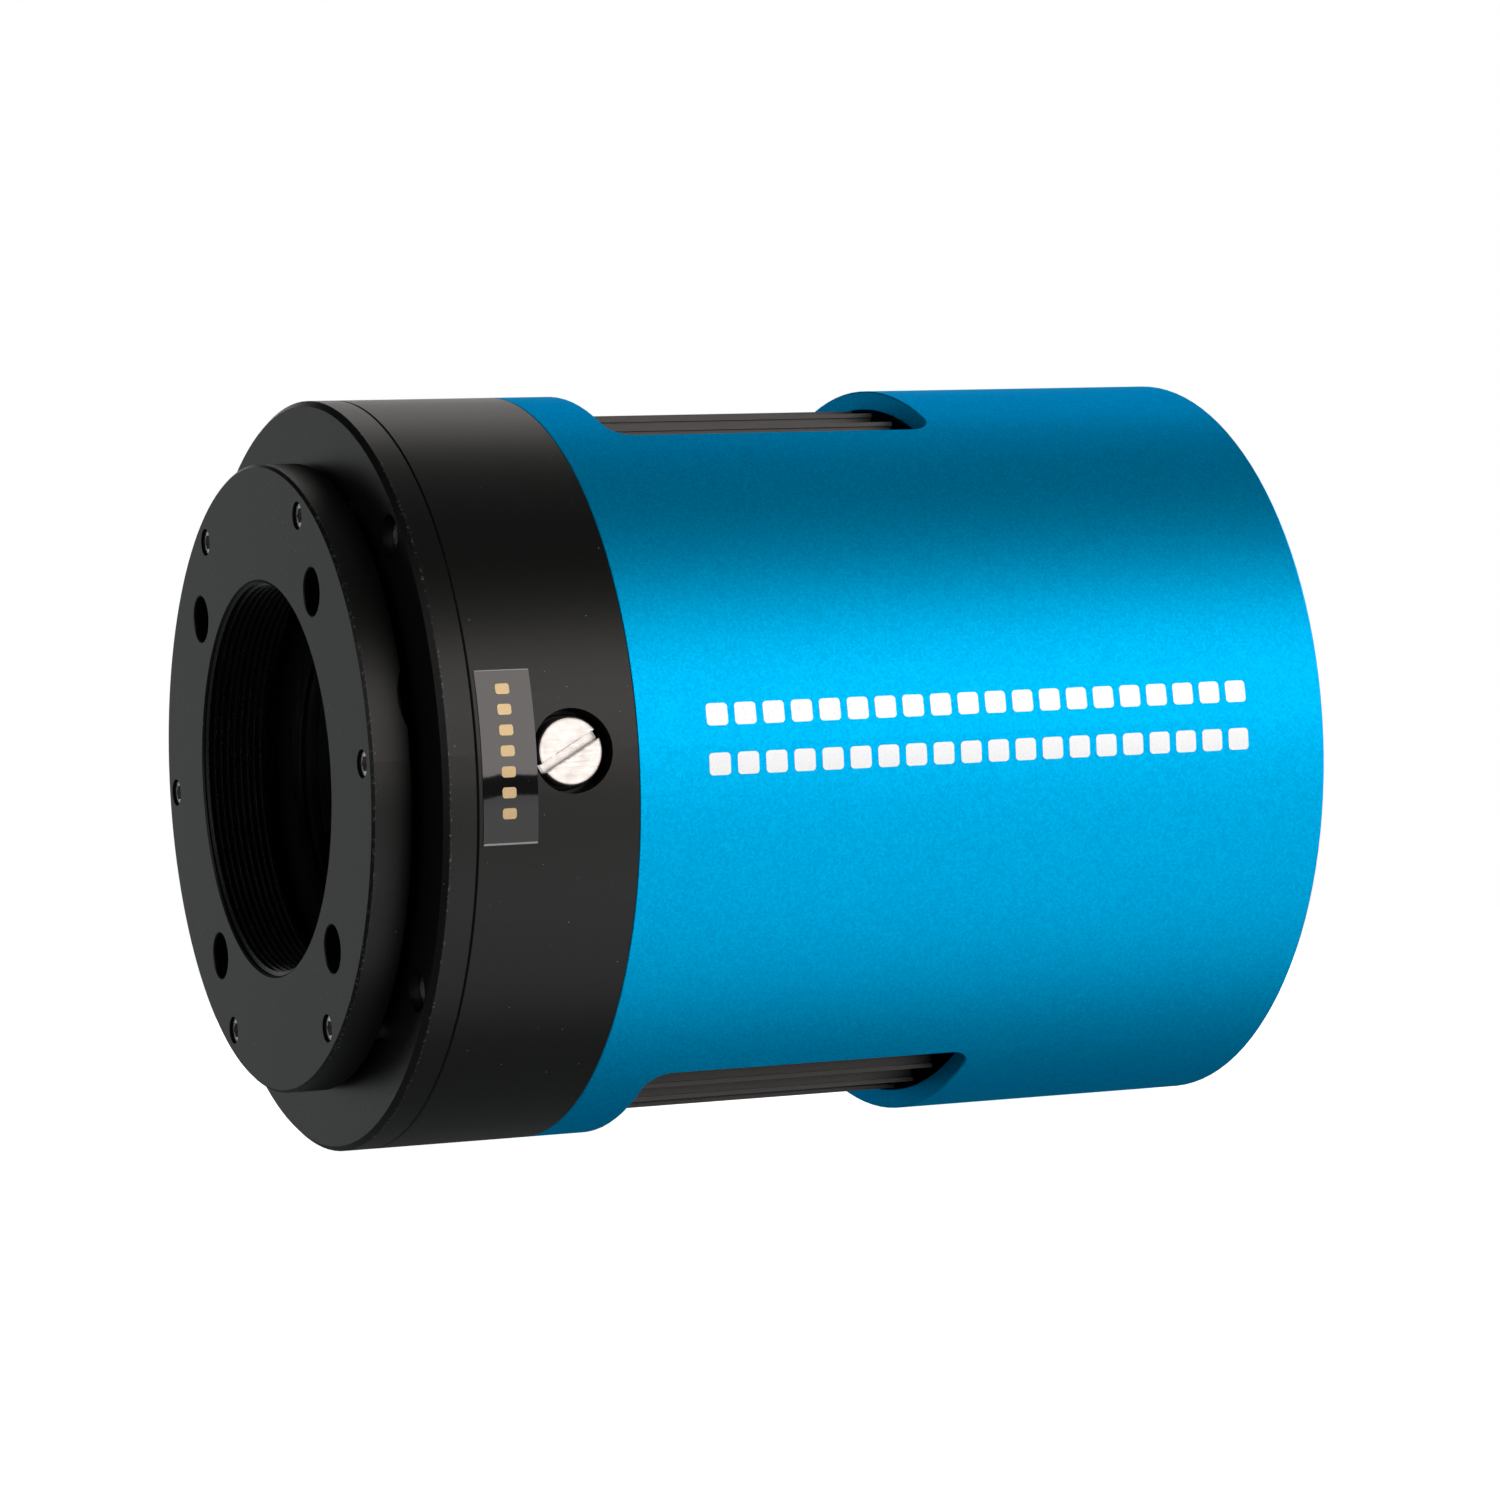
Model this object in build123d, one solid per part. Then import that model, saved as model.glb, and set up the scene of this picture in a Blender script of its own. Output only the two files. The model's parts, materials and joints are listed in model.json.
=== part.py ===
from build123d import *
import os
from math import cos, radians, sin, sqrt

# Cooled guide camera for a telescope: a cylinder of 80 mm diameter on a tilt plate with an M42 thread.
# The optical axis is Y.  The front face of the tilt plate lies at y = 0 and the body runs to +Y.
# Z is up, and +X is the side with the desiccant plug.  All sizes are in millimetres.

# Housing
body_radius = 40.0
seam_chamfer = 0.15
flange_front = 5.3
flange_chamfer = 0.55
flange_rear = 8.86
chamber_rear = 26.47
overall_length = 106.4
rear_chamfer = 0.3

# Tilt plate and its thread
plate_radius = 33.4
plate_thickness = 4.4
plate_edge = 0.3
thread_radius = 21.0
thread_chamfer = 0.2
hub_radius = 22.6
hub_rear = 7.6
adapter_hole_circle = 26.1
adapter_hole_radius = 2.5
adapter_hole_angles = (45, 135, 225, 315)
adapter_hole_edge = 0.12
pry_notch_angles = (11, 191)
pry_notch_depth = 0.92
pry_notch_half_length = 3.3

# Six adjusting screws in the plate, push and pull in turn
tilt_screw_circle = 30.75
tilt_screw_radius = 1.42
tilt_hole_radius = 1.48
tilt_screw_recess = 0.3
tilt_screw_key = 1.5
push_angles = (0, 120, 240)
pull_angles = (60, 180, 300)
push_screw_tip = 4.75
pull_screw_tip = 7.6
pull_pocket_radius = 1.8
pull_pocket_floor = 8.3

# Flange and its screws
flange_bore = 23.0
seal_seat_radius = 24.0
seal_seat_floor = 6.2
tilt_seal_radius = 23.3
tilt_seal_section = 0.5
tilt_seal_y = 5.35
tapped_hole_radius = 1.65
flange_screw_circle = 36.6
flange_screw_angles = (39.2, 140.8, 219.2, 320.8)
flange_counterbore = 2.3
flange_screw_seat = 7.1
flange_head_radius = 2.0
flange_head_height = 1.25
flange_screw_end = 16.0
m25_radius = 1.25
m25_clearance_radius = 1.35

# Sensor chamber
window_seat_radius = 19.1
window_seat = 12.4
view_radius = 17.0
front_wall_rear = 13.4
cavity_radius = 31.0
spigot_radius = 37.8
spigot_rear = 28.0
front_groove_circle = 29.0
rear_groove_circle = 32.4
groove_half_width = 0.7
groove_depth = 1.0
groove_ring_section = 0.5

# Desiccant plug in the side of the chamber
plug_y = 19.3
plug_face = 39.3
plug_head_radius = 3.52
plug_head_seat = 37.3
plug_shank_radius = 3.1
plug_shank_end = 31.2
plug_pocket_radius = 4.35
plug_pocket_floor = 36.1
plug_hole_radius = 3.2
plug_slot_width = 1.0
plug_slot_depth = 1.1
plug_slot_angle = 29
plug_ring_radius = 3.55
plug_ring_section = 0.35
holder_radius = 2.9
holder_wall = 0.5
holder_end = 18.0
tablet_length = 3.9
tablet_gap = 0.15
holder_hole_radius = 0.7
holder_hole_pitch = 3.0

# Tamper label across the edge of the plug's pocket
label_front = 9.4
label_rear = 15.3
label_top = 8.5
label_bottom = -9.1
label_thickness = 0.1

# Sensor stack; the light-sensitive face lies 17.5 mm behind the front face
window_thickness = 2.0
window_radius = 19.0
gasket_thickness = 0.4
heater_thickness = 0.3
ring_notch_half = 1.0
ring_notch_depth = 0.4
mask_half = 21.0
mask_opening_half = 12.5
mask_thickness = 0.8
image_plane = 17.5
package_half = 14.0
package_front = 16.7
package_rear = 19.5
package_recess = (10.0, 9.0)
package_floor = 18.0
die_half = (6.0, 5.0)
cover_glass_half = (12.0, 11.0)
cover_glass_front = 15.9
socket_half = 13.0
socket_hole_half = 9.0
sensor_board_radius = 29.5
sensor_board_front = 20.0
sensor_board_rear = 21.6
standoff_circle = 27.0
standoff_angles = (45, 135, 225, 315)
standoff_radius = 2.2
m2_radius = 0.9
m2_head_radius = 1.7
m2_head_height = 1.2
m2_key = 1.3
m2_reach = 4.0
cold_finger_half = 8.0
cold_finger_rear = 23.2
upper_stage_half = 8.0
upper_stage_rear = 25.6
lower_stage_half = 12.0
stage_plate = 0.6
upper_stage_pellets = 5
lower_stage_pellets = 7
foam_radius = 24.0
foam_hole_half = 13.5
foam_front = 22.3
foam_rear = 27.9

# Heat sink
sink_radius = 37.5
sink_base_rear = 32.0
fin_rear = 70.0
fin_pitch = 5.0
fin_count = 14
fin_thickness = 1.0
fin_tip_radius = 37.8
fin_bead_width = 1.7
fin_bead_height = 0.45
sink_screw_x = 25.0
sink_screw_circle = 35.4
sink_head_radius = 1.6
sink_head_height = 2.0
sink_screw_end = 22.5

# Outer shell
shell_bore = 38.0
vent_front = 33.4
vent_rear = 71.0
vent_half_width = 21.5
vent_corner = 2.5
vent_edge = 0.15
cover_lip_radius = 37.0
cover_lip_front = 102.4
cover_front = 103.9

# Fan
fan_front = 71.2
fan_rear = 81.2
fan_half = 25.0
fan_corner = 3.0
fan_duct_radius = 23.4
fan_hole_offset = 20.0
fan_post_radius = 1.9
fan_head_radius = 2.1
fan_head_height = 1.4
strut_front = 79.7
strut_width = 2.4
motor_radius = 11.5
rotor_front = 72.2
rotor_skirt_rear = 79.2
rotor_wall = 1.1
blade_tip_radius = 22.6
blade_count = 7
blade_chord = 9.0
blade_thickness = 0.9
blade_pitch = 42
shaft_radius = 1.0
bearing_radius = 1.06
bearing_wall_radius = 2.6
core_radius = 8.4
magnet_inner = 9.2
magnet_rear = 78.8

# Electronics behind the fan
post_x = 30.0
post_z = 15.0
post_radius = 1.9
spacer_radius = 2.3
stud_radius = 1.2
board_radius = 36.0
board_half_height = 25.0
board_thickness = 1.6
main_board_front = 84.0
port_board_front = 94.0
stud_front = 78.0
stud_rear = 98.0
ribbon_x = -26.0
ribbon_thickness = 0.3
ribbon_half_width = 6.0
lead_x = 26.0
lead_z = 8.0
lead_radius = 0.55
fan_lead_xs = (11.0, 12.4, 13.8)
fan_lead_z = 23.0
fan_lead_radius = 0.5

# Rear cover and its sockets
cover_radius = 37.9
cover_rear = 106.0
socket_rear = 106.2
socket_clearance = 0.25
cover_head_radius = 2.3
vent_slot_xs = (-18, -12, -6, 0, 6, 12, 18)
vent_slot_half_width = 1.2
vent_slot_bottom = 8.0
vent_slot_circle = 31.0
usb_b_place = (-16.0, -11.0)
usb_b_half = (6.0, 5.5)
usb_b_mouth_half = (4.25, 4.7)
usb_b_tongue_half = (2.8, 1.5)
usb_b_tongue_rear = 101.6
usb_a_places = ((15.0, -6.5), (15.0, -15.5))
usb_a_half = (6.6, 2.9)
usb_a_mouth_half = (6.25, 2.55)
usb_a_tongue_half = (5.5, 0.9)
pin_rear = 101.8
power_place = (0.0, -25.0)
power_half = (4.6, 5.2)
power_mouth_radius = 2.9
power_pin_radius = 1.05
antenna_place = (0.0, -10.0)
antenna_hole_radius = 5.0
antenna_nut = 8.0
antenna_nut_height = 2.4
antenna_radius = 3.15
antenna_bore_radius = 2.3
antenna_pin_radius = 0.6
light_place = (0.0, 1.5)
light_radius = 1.5


def rod(radius, start, end, x=0.0, z=0.0):
    """Cylinder along Y between two y positions."""
    upright = Cylinder(radius, end - start, align=(Align.CENTER, Align.CENTER, Align.MIN))
    return Pos(x, start, z) * Rot(X=-90) * upright


def side_rod(radius, start, end, y=plug_y):
    """Cylinder along X between two x positions."""
    upright = Cylinder(radius, end - start, align=(Align.CENTER, Align.CENTER, Align.MIN))
    return Pos(start, y, 0) * Rot(Y=90) * upright


def lathe(points):
    """Solid turned about Y from (radius, y) corners."""
    return revolve(make_face(Polyline(*points, close=True)), axis=Axis.Y)


def ring(outer, inner, start, end, x=0.0, z=0.0):
    """Tube along Y."""
    return rod(outer, start, end, x, z) - rod(inner, start - 1, end + 1, x, z)


def slab(xs, ys, zs):
    """Box between pairs of x, y and z positions."""
    centre = Pos((xs[0] + xs[1]) / 2, (ys[0] + ys[1]) / 2, (zs[0] + zs[1]) / 2)
    return centre * Box(xs[1] - xs[0], ys[1] - ys[0], zs[1] - zs[0])


def square(half_x, start, end, half_z=None, place=(0.0, 0.0)):
    """Rectangular block along Y, centred on an (x, z) place."""
    half_z = half_x if half_z is None else half_z
    x, z = place
    return slab((x - half_x, x + half_x), (start, end), (z - half_z, z + half_z))


def rounded(half_x, half_z, corner, start, end, place=(0.0, 0.0)):
    """Block along Y with rounded corners."""
    sketch = RectangleRounded(2 * half_x, 2 * half_z, corner)
    return Pos(place[0], start, place[1]) * Rot(X=-90) * extrude(sketch, end - start)


def o_ring(radius, section, y):
    """Rubber ring round the Y axis."""
    return Pos(0, y, 0) * Rot(X=-90) * Torus(radius, section)


def hexagon(across_flats, start, end, x, z):
    """Six-sided bar along Y, for key sockets and nuts."""
    sketch = RegularPolygon(across_flats / 2, 6, major_radius=False)
    return Pos(x, start, z) * Rot(X=-90) * extrude(sketch, end - start)


def on_circle(radius, angle):
    """(x, z) of a point on a circle round the Y axis."""
    return radius * cos(radians(angle)), radius * sin(radians(angle))


def four_places(x, z):
    """The same place in each quarter."""
    return [(x, z), (-x, z), (-x, -z), (x, -z)]


def cut(solid, *tools):
    for tool in tools:
        solid = solid - tool
    return solid


def group(solids):
    """Separate solids kept together in one file."""
    return Compound(children=list(solids))


def turned_about_y(solid, angle):
    """Copy turned about Y so that +X moves to the given angle in the XZ plane."""
    return Rot(Y=-angle) * solid


# ---------------------------------------------------------------- tilt plate

def tilt_plate():
    body = lathe([
        (thread_radius + thread_chamfer, 0),
        (plate_radius - plate_edge, 0),
        (plate_radius, plate_edge),
        (plate_radius, plate_thickness - thread_chamfer),
        (plate_radius - thread_chamfer, plate_thickness),
        (hub_radius, plate_thickness),
        (hub_radius, hub_rear),
        (thread_radius + thread_chamfer, hub_rear),
        (thread_radius, hub_rear - thread_chamfer),
        (thread_radius, thread_chamfer),
    ])
    for angle in adapter_hole_angles:
        x, z = on_circle(adapter_hole_circle, angle)
        body = cut(body, rod(adapter_hole_radius, -1, hub_rear, x, z))
        edge = Cone(adapter_hole_radius + adapter_hole_edge, adapter_hole_radius, adapter_hole_edge,
                    align=(Align.CENTER, Align.CENTER, Align.MIN))
        body = cut(body, Pos(x, 0, z) * Rot(X=-90) * edge)
    for angle in push_angles + pull_angles:
        x, z = on_circle(tilt_screw_circle, angle)
        body = cut(body, rod(tilt_hole_radius, -1, hub_rear, x, z))
    notch_radius = (pry_notch_half_length ** 2 + pry_notch_depth ** 2) / (2 * pry_notch_depth)
    notch_y = plate_thickness - pry_notch_depth + notch_radius
    notch = side_rod(notch_radius, plate_radius - 1.4, plate_radius + 5, notch_y)
    for angle in pry_notch_angles:
        body = cut(body, turned_about_y(notch, angle))
    return body


def set_screw(tip, angle):
    """Headless screw with a hexagonal socket, flush in the plate."""
    x, z = on_circle(tilt_screw_circle, angle)
    edge = 0.2
    profile = lathe([
        (0, tilt_screw_recess),
        (tilt_screw_radius - edge, tilt_screw_recess),
        (tilt_screw_radius, tilt_screw_recess + edge),
        (tilt_screw_radius, tip - 2 * edge),
        (tilt_screw_radius - 2 * edge, tip),
        (0, tip),
    ])
    screw = Pos(x, 0, z) * profile
    return cut(screw, hexagon(tilt_screw_key, 0, tilt_screw_recess + 1.3, x, z))


def tilt_seal_ring():
    return o_ring(tilt_seal_radius, tilt_seal_section, tilt_seal_y)


# ---------------------------------------------------------------- flange

def flange_ring():
    body = lathe([
        (seal_seat_radius, flange_front),
        (body_radius - flange_chamfer, flange_front),
        (body_radius, flange_front + flange_chamfer),
        (body_radius, flange_rear - seam_chamfer),
        (body_radius - seam_chamfer, flange_rear),
        (flange_bore, flange_rear),
        (flange_bore, seal_seat_floor),
        (seal_seat_radius, seal_seat_floor),
    ])
    for angle in flange_screw_angles:
        x, z = on_circle(flange_screw_circle, angle)
        body = cut(body, rod(flange_counterbore, flange_front - 1, flange_screw_seat, x, z))
        body = cut(body, rod(m25_clearance_radius, flange_front, flange_rear + 1, x, z))
    for angle in adapter_hole_angles:
        x, z = on_circle(adapter_hole_circle, angle)
        body = cut(body, rod(tapped_hole_radius, flange_front - 1, pull_pocket_floor, x, z))
    for angle in pull_angles:
        x, z = on_circle(tilt_screw_circle, angle)
        body = cut(body, rod(pull_pocket_radius, flange_front - 1, pull_pocket_floor, x, z))
    return body


def flange_screws():
    screws = []
    head_top = flange_screw_seat - flange_head_height
    for angle in flange_screw_angles:
        x, z = on_circle(flange_screw_circle, angle)
        screws.append(button_screw(x, z, head_top, flange_screw_end))
    return group(screws)


def button_screw(x, z, head_top, end):
    """Domed head with a hexagonal socket on an M2.5 shank."""
    dome_rise = 0.7
    dome_radius = (flange_head_radius ** 2 + dome_rise ** 2) / (2 * dome_rise)
    seat = head_top + flange_head_height
    head = rod(flange_head_radius, head_top, seat, x, z)
    head = head & (Pos(x, head_top + dome_radius, z) * Sphere(dome_radius))
    head = cut(head, hexagon(tilt_screw_key, head_top - 1, head_top + 0.9, x, z))
    return head + rod(m25_radius, seat, end, x, z)


def flange_o_ring():
    return o_ring(front_groove_circle, groove_ring_section, flange_rear + groove_ring_section)


# ---------------------------------------------------------------- sensor chamber

def chamber_body():
    body = lathe([
        (window_seat_radius, flange_rear),
        (body_radius - seam_chamfer, flange_rear),
        (body_radius, flange_rear + seam_chamfer),
        (body_radius, chamber_rear - seam_chamfer / 2),
        (body_radius - seam_chamfer / 2, chamber_rear),
        (spigot_radius, chamber_rear),
        (spigot_radius, spigot_rear),
        (cavity_radius, spigot_rear),
        (cavity_radius, front_wall_rear),
        (view_radius, front_wall_rear),
        (view_radius, window_seat),
        (window_seat_radius, window_seat),
    ])
    groove = ring(front_groove_circle + groove_half_width, front_groove_circle - groove_half_width,
                  flange_rear - 1, flange_rear + groove_depth)
    body = cut(body, groove)
    for angle in flange_screw_angles:
        x, z = on_circle(flange_screw_circle, angle)
        body = cut(body, rod(m25_radius, flange_rear - 1, flange_screw_end, x, z))
    for x, z in sink_screw_places():
        body = cut(body, rod(m25_radius, sink_screw_end, spigot_rear + 1, x, z))
    body = cut(body, side_rod(plug_pocket_radius, plug_pocket_floor, body_radius + 5))
    return cut(body, side_rod(plug_hole_radius, cavity_radius - 5, plug_pocket_floor + 1))


def window_front():
    return window_seat - gasket_thickness - window_thickness


def window_retaining_ring():
    """Flat ring with two notches for a pin spanner."""
    body = ring(window_radius, view_radius - 0.2, flange_rear, window_front() - heater_thickness)
    for side in (1, -1):
        place = (0.0, side * window_radius)
        notch = square(ring_notch_half, flange_rear - 1, flange_rear + ring_notch_depth, 1.1, place)
        body = cut(body, notch)
    return body


def window_heater():
    return ring(window_radius, view_radius, window_front() - heater_thickness, window_front())


def chamber_window():
    return rod(window_radius, window_front(), window_seat - gasket_thickness)


def window_gasket():
    return ring(window_radius, view_radius, window_seat - gasket_thickness, window_seat)


def tamper_label():
    sleeve = ring(body_radius + label_thickness, body_radius, label_front, label_rear)
    patch = slab((0, body_radius + 1), (label_front - 1, label_rear + 1), (label_bottom, label_top))
    return sleeve & patch


# ---------------------------------------------------------------- desiccant plug

def desiccant_plug():
    edge = 0.15
    profile = Polyline(
        (plug_shank_end, 0),
        (plug_shank_end, plug_shank_radius - edge),
        (plug_shank_end + edge, plug_shank_radius),
        (plug_head_seat, plug_shank_radius),
        (plug_head_seat, plug_head_radius),
        (plug_face - edge, plug_head_radius),
        (plug_face, plug_head_radius - edge),
        (plug_face, 0),
        close=True,
    )
    body = Pos(0, plug_y, 0) * revolve(make_face(profile), axis=Axis.X)
    slot = Box(2 * plug_slot_depth, 4 * plug_head_radius, plug_slot_width)
    return cut(body, Pos(plug_face, plug_y, 0) * Rot(X=plug_slot_angle) * slot)


def plug_o_ring():
    middle = (plug_pocket_floor + plug_head_seat) / 2
    return Pos(middle, plug_y, 0) * Rot(Y=90) * Torus(plug_ring_radius, plug_ring_section)


def desiccant_holder():
    """Perforated tube with a closed inner end, behind the plug."""
    body = side_rod(holder_radius, holder_end, plug_shank_end)
    body = cut(body, side_rod(holder_radius - holder_wall, holder_end + holder_wall, plug_shank_end + 1))
    for step in range(4):
        x = holder_end + 2.2 + holder_hole_pitch * step
        hole = Cylinder(holder_hole_radius, 4 * holder_radius)
        body = cut(body, Pos(x, plug_y, 0) * hole, Pos(x, plug_y, 0) * Rot(X=90) * hole)
    return body


def desiccant_tablets():
    radius = holder_radius - holder_wall - 0.1
    start = holder_end + holder_wall + 0.1
    tablets = []
    for step in range(3):
        front = start + step * (tablet_length + tablet_gap)
        tablets.append(side_rod(radius, front, front + tablet_length))
    return group(tablets)


# ---------------------------------------------------------------- sensor stack

def sensor_mask():
    plate = square(mask_half, front_wall_rear, front_wall_rear + mask_thickness)
    return cut(plate, rounded(mask_opening_half, mask_opening_half, 1.5, front_wall_rear - 1,
                              front_wall_rear + mask_thickness + 1))


def sensor_cover_glass():
    return square(cover_glass_half[0], cover_glass_front, package_front, cover_glass_half[1])


def sensor_package():
    body = square(package_half, package_front, package_rear)
    return cut(body, square(package_recess[0], package_front - 1, package_floor, package_recess[1]))


def sensor_die():
    return square(die_half[0], image_plane, package_floor, die_half[1])


def sensor_socket():
    body = square(socket_half, package_rear, sensor_board_front)
    return cut(body, square(socket_hole_half, package_rear - 1, sensor_board_front + 1))


def sensor_board():
    board = rod(sensor_board_radius, sensor_board_front, sensor_board_rear)
    board = cut(board, square(socket_hole_half, sensor_board_front - 1, sensor_board_rear + 1))
    board = cut(board, slab((holder_end - 2, body_radius), (sensor_board_front - 1, sensor_board_rear + 1),
                            (-holder_radius - 1, holder_radius + 1)))
    for angle in standoff_angles:
        x, z = on_circle(standoff_circle, angle)
        board = cut(board, rod(m2_radius, sensor_board_front - 1, sensor_board_rear + 1, x, z))
    return board


def sensor_board_standoffs():
    posts = []
    for angle in standoff_angles:
        x, z = on_circle(standoff_circle, angle)
        posts.append(ring(standoff_radius, m2_radius, sensor_board_rear, spigot_rear, x, z))
    return group(posts)


def sensor_board_screws():
    screws = []
    head_top = sensor_board_front - m2_head_height
    for angle in standoff_angles:
        x, z = on_circle(standoff_circle, angle)
        head = rod(m2_head_radius, head_top, sensor_board_front, x, z)
        screw = head + rod(m2_radius, sensor_board_front, sensor_board_rear + m2_reach, x, z)
        screws.append(cut(screw, hexagon(m2_key, head_top - 1, head_top + 0.7, x, z)))
    return group(screws)


def cold_finger():
    return square(cold_finger_half, package_rear, cold_finger_rear)


def cooler_stage(half, front, rear, across):
    """Two ceramic plates with a square grid of pellets between them, so many across."""
    pieces = [square(half, front, front + stage_plate), square(half, rear - stage_plate, rear)]
    pitch = 2 * half / across
    for column in range(across):
        for row in range(across):
            place = (-half + pitch * (column + 0.5), -half + pitch * (row + 0.5))
            pieces.append(square(pitch * 0.3, front + stage_plate, rear - stage_plate, place=place))
    body = pieces[0]
    for piece in pieces[1:]:
        body = body + piece
    return body


def cooler_upper_stage():
    return cooler_stage(upper_stage_half, cold_finger_rear, upper_stage_rear, upper_stage_pellets)


def cooler_lower_stage():
    return cooler_stage(lower_stage_half, upper_stage_rear, spigot_rear, lower_stage_pellets)


def insulation_foam():
    body = rod(foam_radius, foam_front, foam_rear)
    return cut(body, square(foam_hole_half, foam_front - 1, foam_rear + 1))


def rear_o_ring():
    return o_ring(rear_groove_circle, groove_ring_section, spigot_rear + groove_ring_section)


def sensor_ribbon():
    return slab((ribbon_x, ribbon_x + ribbon_thickness), (sensor_board_rear, main_board_front),
                (-ribbon_half_width, ribbon_half_width))


def cooler_leads():
    return group(rod(lead_radius, sensor_board_rear, main_board_front, lead_x, z)
                 for z in (-lead_z, lead_z))


# ---------------------------------------------------------------- heat sink

def sink_screw_places():
    return four_places(sink_screw_x, sqrt(sink_screw_circle ** 2 - sink_screw_x ** 2))


def fin(x):
    """One plate with a beaded edge at its top and bottom."""
    half_height = sqrt(fin_tip_radius ** 2 - (abs(x) + fin_bead_width / 2) ** 2)
    start = sink_base_rear - 0.5
    body = square(fin_thickness / 2, start, fin_rear, half_height, (x, 0.0))
    for side in (1, -1):
        bead_z = side * (half_height - fin_bead_height / 2)
        body = body + square(fin_bead_width / 2, sink_base_rear, fin_rear, fin_bead_height / 2, (x, bead_z))
    return body


def heat_sink():
    body = rod(sink_radius, spigot_rear, sink_base_rear)
    for step in range(fin_count):
        body = body + fin((step - (fin_count - 1) / 2) * fin_pitch)
    groove = ring(rear_groove_circle + groove_half_width, rear_groove_circle - groove_half_width,
                  spigot_rear - 1, spigot_rear + groove_depth)
    body = cut(body, groove)
    for x, z in sink_screw_places():
        body = cut(body, rod(m25_clearance_radius, spigot_rear - 1, sink_base_rear + 1, x, z))
    slot = slab((ribbon_x - 0.4, ribbon_x + ribbon_thickness + 0.4), (spigot_rear - 1, sink_base_rear + 1),
                (-ribbon_half_width - 0.4, ribbon_half_width + 0.4))
    body = cut(body, slot)
    for z in (-lead_z, lead_z):
        body = cut(body, rod(lead_radius + 0.2, spigot_rear - 1, sink_base_rear + 1, lead_x, z))
    return body


def heat_sink_screws():
    screws = []
    for x, z in sink_screw_places():
        head = rod(sink_head_radius, sink_base_rear, sink_base_rear + sink_head_height, x, z)
        screw = head + rod(m25_radius, sink_screw_end, sink_base_rear, x, z)
        screws.append(cut(screw, hexagon(2.0, sink_base_rear + 0.9, sink_base_rear + 3, x, z)))
    return group(screws)


# ---------------------------------------------------------------- outer shell

def outer_vent_edges(body):
    """Edges of the vent windows that lie on the outside of the shell."""
    found = []
    for edge in body.edges():
        points = [edge @ share for share in (0.0, 0.5, 1.0)]
        outside = all(abs(sqrt(p.X ** 2 + p.Z ** 2) - body_radius) < 0.01 for p in points)
        in_window = all(vent_front - 0.1 < p.Y < vent_rear + 0.1 for p in points)
        near_window = all(abs(p.X) < vent_half_width + 0.1 for p in points)
        if outside and in_window and near_window:
            found.append(edge)
    return found


def outer_shell():
    rim = seam_chamfer / 2
    body = lathe([
        (shell_bore, chamber_rear),
        (body_radius - rim, chamber_rear),
        (body_radius, chamber_rear + rim),
        (body_radius, overall_length - rear_chamfer),
        (body_radius - rear_chamfer, overall_length),
        (shell_bore, overall_length),
        (shell_bore, cover_front),
        (cover_lip_radius, cover_front),
        (cover_lip_radius, cover_lip_front),
        (shell_bore, cover_lip_front),
    ])
    sketch = RectangleRounded(2 * vent_half_width, vent_rear - vent_front, vent_corner)
    vent = extrude(sketch, 25)
    middle = (vent_front + vent_rear) / 2
    body = cut(body, Pos(0, middle, 20) * vent, Pos(0, middle, -45) * vent)
    return chamfer(outer_vent_edges(body), vent_edge)


# ---------------------------------------------------------------- fan

def fan_frame():
    body = rounded(fan_half, fan_half, fan_corner, fan_front, fan_rear)
    body = cut(body, rod(fan_duct_radius, fan_front - 1, fan_rear + 1))
    for x, z in four_places(fan_hole_offset, fan_hole_offset):
        body = cut(body, rod(m25_clearance_radius, fan_front - 1, fan_rear + 1, x, z))
    for turn in range(4):
        half = strut_width / 2
        strut = slab((0, fan_duct_radius + 0.5), (strut_front, fan_rear), (-half, half))
        body = body + turned_about_y(strut, 45 + 90 * turn)
    body = body + rod(motor_radius, strut_front, fan_rear)
    body = body + rod(bearing_wall_radius, rotor_front + 1.9, strut_front)
    return cut(body, rod(bearing_radius, rotor_front, fan_rear - 0.7))


def fan_stator():
    core = ring(core_radius, bearing_wall_radius, rotor_front + 2.6, rotor_skirt_rear - 0.6)
    slot = slab((bearing_wall_radius + 1.4, core_radius + 1), (rotor_front, fan_rear), (-0.9, 0.9))
    for turn in range(4):
        core = cut(core, turned_about_y(slot, 90 * turn))
    return core


def fan_rotor():
    cup = rod(motor_radius, rotor_front, rotor_skirt_rear)
    cup = cut(cup, rod(motor_radius - rotor_wall, rotor_front + rotor_wall, rotor_skirt_rear + 1))
    depth = rotor_skirt_rear - rotor_front
    middle = (rotor_front + rotor_skirt_rear) / 2
    sweep_zone = rod(blade_tip_radius, rotor_front + 0.2, rotor_skirt_rear)
    sweep_zone = cut(sweep_zone, rod(motor_radius - 0.5, rotor_front - 1, rotor_skirt_rear + 1))
    span = blade_tip_radius - motor_radius + 4
    blade = Box(span, blade_thickness, blade_chord + depth)
    blade = Pos(motor_radius - 1 + span / 2, middle, 0) * Rot(X=blade_pitch) * blade
    blade = blade & sweep_zone
    body = cup
    for step in range(blade_count):
        body = body + turned_about_y(blade, 360 * step / blade_count)
    return body


def fan_magnet():
    return ring(motor_radius - rotor_wall, magnet_inner, rotor_front + 2.0, magnet_rear)


def fan_shaft():
    return rod(shaft_radius, rotor_front + rotor_wall, fan_rear - 0.9)


def fan_posts():
    places = four_places(fan_hole_offset, fan_hole_offset)
    return group(cut(rod(fan_post_radius, sink_base_rear, fan_front, x, z),
                     rod(m25_radius, fan_front - 6, fan_front + 1, x, z)) for x, z in places)


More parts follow.
